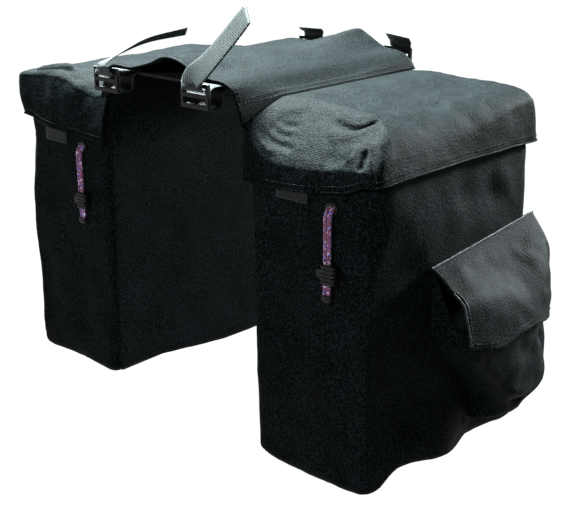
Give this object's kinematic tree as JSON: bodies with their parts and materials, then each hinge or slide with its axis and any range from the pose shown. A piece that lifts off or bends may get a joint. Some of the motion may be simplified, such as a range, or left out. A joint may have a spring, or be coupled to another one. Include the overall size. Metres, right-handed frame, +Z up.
{
  "type": "bicycle saddle bag",
  "caption": "Saddle bag of black woven cloth for a bicycle's rear rack: lidded bags with flap pockets hang either side of a centre panel with webbing rack straps.",
  "frame": {"origin": "middle of the flat underside of the bridge's reinforcing panel, where it lies on the rack's deck", "axes": "+X to the rider's right, across the bicycle; +Y forward along the bicycle; +Z up"},
  "size_m": [0.612, 0.3103, 0.4179],
  "materials": {
    "bag_cloth": "plain-woven coated polyester, matt with a faint sheen",
    "lining": "thin plain-woven nylon",
    "webbing": "ribbed polypropylene webbing",
    "fastening_tape": "hook tape and loop tape",
    "drawcord": "braided, red and purple with blue and white flecks",
    "moulded_plastic": "moulded acetal, satin",
    "board": "plain sheet",
    "spring_steel": "drawn wire"
  },
  "bodies": {
    "bridge": {"bridge_base": "board", "centre_panel": "bag_cloth", "rear_right_strap": "webbing", "rear_right_strap_tab": "webbing", "rear_left_strap": "webbing", "rear_left_strap_tab": "webbing", "front_right_strap": "webbing", "front_right_strap_tab": "webbing", "front_left_strap": "webbing", "front_left_strap_tab": "webbing"},
    "rear_right_ladder_lock": {"rear_right_buckle": "moulded_plastic", "rear_right_strap_tail": "webbing"},
    "rear_left_ladder_lock": {"rear_left_buckle": "moulded_plastic", "rear_left_strap_tail": "webbing"},
    "front_right_ladder_lock": {"front_right_buckle": "moulded_plastic", "front_right_strap_tail": "webbing"},
    "front_left_ladder_lock": {"front_left_buckle": "moulded_plastic", "front_left_strap_tail": "webbing"},
    "right_bag": {"right_gusset": "bag_cloth", "right_outer_panel": "bag_cloth", "right_back_panel": "bag_cloth", "right_back_board": "board", "right_cord_casing": "lining", "right_drawcord": "drawcord", "right_eyelet": "moulded_plastic", "right_cord_end": "moulded_plastic", "right_lid_loop_tape": "fastening_tape", "right_pocket_gusset": "bag_cloth", "right_pocket_front": "bag_cloth", "right_pocket_loop_tape": "fastening_tape"},
    "right_lid": {"right_lid_top": "bag_cloth", "right_lid_skirt": "bag_cloth", "right_lid_hook_tape": "fastening_tape", "right_lid_pull_tab": "webbing"},
    "right_flap": {"right_pocket_flap": "bag_cloth", "right_flap_hook_tape": "fastening_tape"},
    "right_cord_lock": {"right_lock_barrel": "moulded_plastic", "right_lock_spring": "spring_steel"},
    "right_lock_button": {"right_lock_plunger": "moulded_plastic"},
    "left_bag": {"left_gusset": "bag_cloth", "left_outer_panel": "bag_cloth", "left_back_panel": "bag_cloth", "left_back_board": "board", "left_cord_casing": "lining", "left_drawcord": "drawcord", "left_eyelet": "moulded_plastic", "left_cord_end": "moulded_plastic", "left_lid_loop_tape": "fastening_tape", "left_pocket_gusset": "bag_cloth", "left_pocket_front": "bag_cloth", "left_pocket_loop_tape": "fastening_tape"},
    "left_lid": {"left_lid_top": "bag_cloth", "left_lid_skirt": "bag_cloth", "left_lid_hook_tape": "fastening_tape", "left_lid_pull_tab": "webbing"},
    "left_flap": {"left_pocket_flap": "bag_cloth", "left_flap_hook_tape": "fastening_tape"},
    "left_cord_lock": {"left_lock_barrel": "moulded_plastic", "left_lock_spring": "spring_steel"},
    "left_lock_button": {"left_lock_plunger": "moulded_plastic"}
  },
  "joints": [
    {"name": "rear_right_buckle_tilt", "type": "hinge", "parent": "bridge", "child": "rear_right_ladder_lock", "pos_m": [0.061, -0.1478, -0.0116], "axis": [1, 0, 0], "range_deg": [0, 40]},
    {"name": "rear_left_buckle_tilt", "type": "hinge", "parent": "bridge", "child": "rear_left_ladder_lock", "pos_m": [-0.061, -0.1478, -0.0116], "axis": [1, 0, 0], "range_deg": [0, 40]},
    {"name": "front_right_buckle_tilt", "type": "hinge", "parent": "bridge", "child": "front_right_ladder_lock", "pos_m": [0.061, 0.1478, -0.0116], "axis": [-1, 0, 0], "range_deg": [0, 40]},
    {"name": "front_left_buckle_tilt", "type": "hinge", "parent": "bridge", "child": "front_left_ladder_lock", "pos_m": [-0.061, 0.1478, -0.0116], "axis": [-1, 0, 0], "range_deg": [0, 40]},
    {"name": "right_bag_swing", "type": "hinge", "parent": "bridge", "child": "right_bag", "pos_m": [0.0976, 0, -0.0085], "axis": [0, -1, 0], "range_deg": [0, 35]},
    {"name": "right_lid_open", "type": "hinge", "parent": "right_bag", "child": "right_lid", "pos_m": [0.0976, 0, -0.0085], "axis": [0, -1, 0], "range_deg": [0, 95]},
    {"name": "right_flap_open", "type": "hinge", "parent": "right_bag", "child": "right_flap", "pos_m": [0.24539, 0.0375, -0.138], "axis": [0, -1, 0], "range_deg": [0, 85]},
    {"name": "right_cord_lock_slide", "type": "slide", "parent": "right_bag", "child": "right_cord_lock", "axis": [0, 0, 1], "range_m": [0, 0.025]},
    {"name": "right_lock_press", "type": "slide", "parent": "right_cord_lock", "child": "right_lock_button", "axis": [1, 0, 0], "range_m": [0, 0.0016], "stiffness_N_per_m": 600, "springref_m": -0.001, "deforming": ["right_lock_spring"]},
    {"name": "left_bag_swing", "type": "hinge", "parent": "bridge", "child": "left_bag", "pos_m": [-0.0976, 0, -0.0085], "axis": [0, 1, 0], "range_deg": [0, 35]},
    {"name": "left_lid_open", "type": "hinge", "parent": "left_bag", "child": "left_lid", "pos_m": [-0.0976, 0, -0.0085], "axis": [0, 1, 0], "range_deg": [0, 95]},
    {"name": "left_flap_open", "type": "hinge", "parent": "left_bag", "child": "left_flap", "pos_m": [-0.24539, 0.0375, -0.138], "axis": [0, 1, 0], "range_deg": [0, 85]},
    {"name": "left_cord_lock_slide", "type": "slide", "parent": "left_bag", "child": "left_cord_lock", "axis": [0, 0, 1], "range_m": [0, 0.025]},
    {"name": "left_lock_press", "type": "slide", "parent": "left_cord_lock", "child": "left_lock_button", "axis": [1, 0, 0], "range_m": [0, 0.0016], "stiffness_N_per_m": 600, "springref_m": -0.001, "deforming": ["left_lock_spring"]}
  ]
}
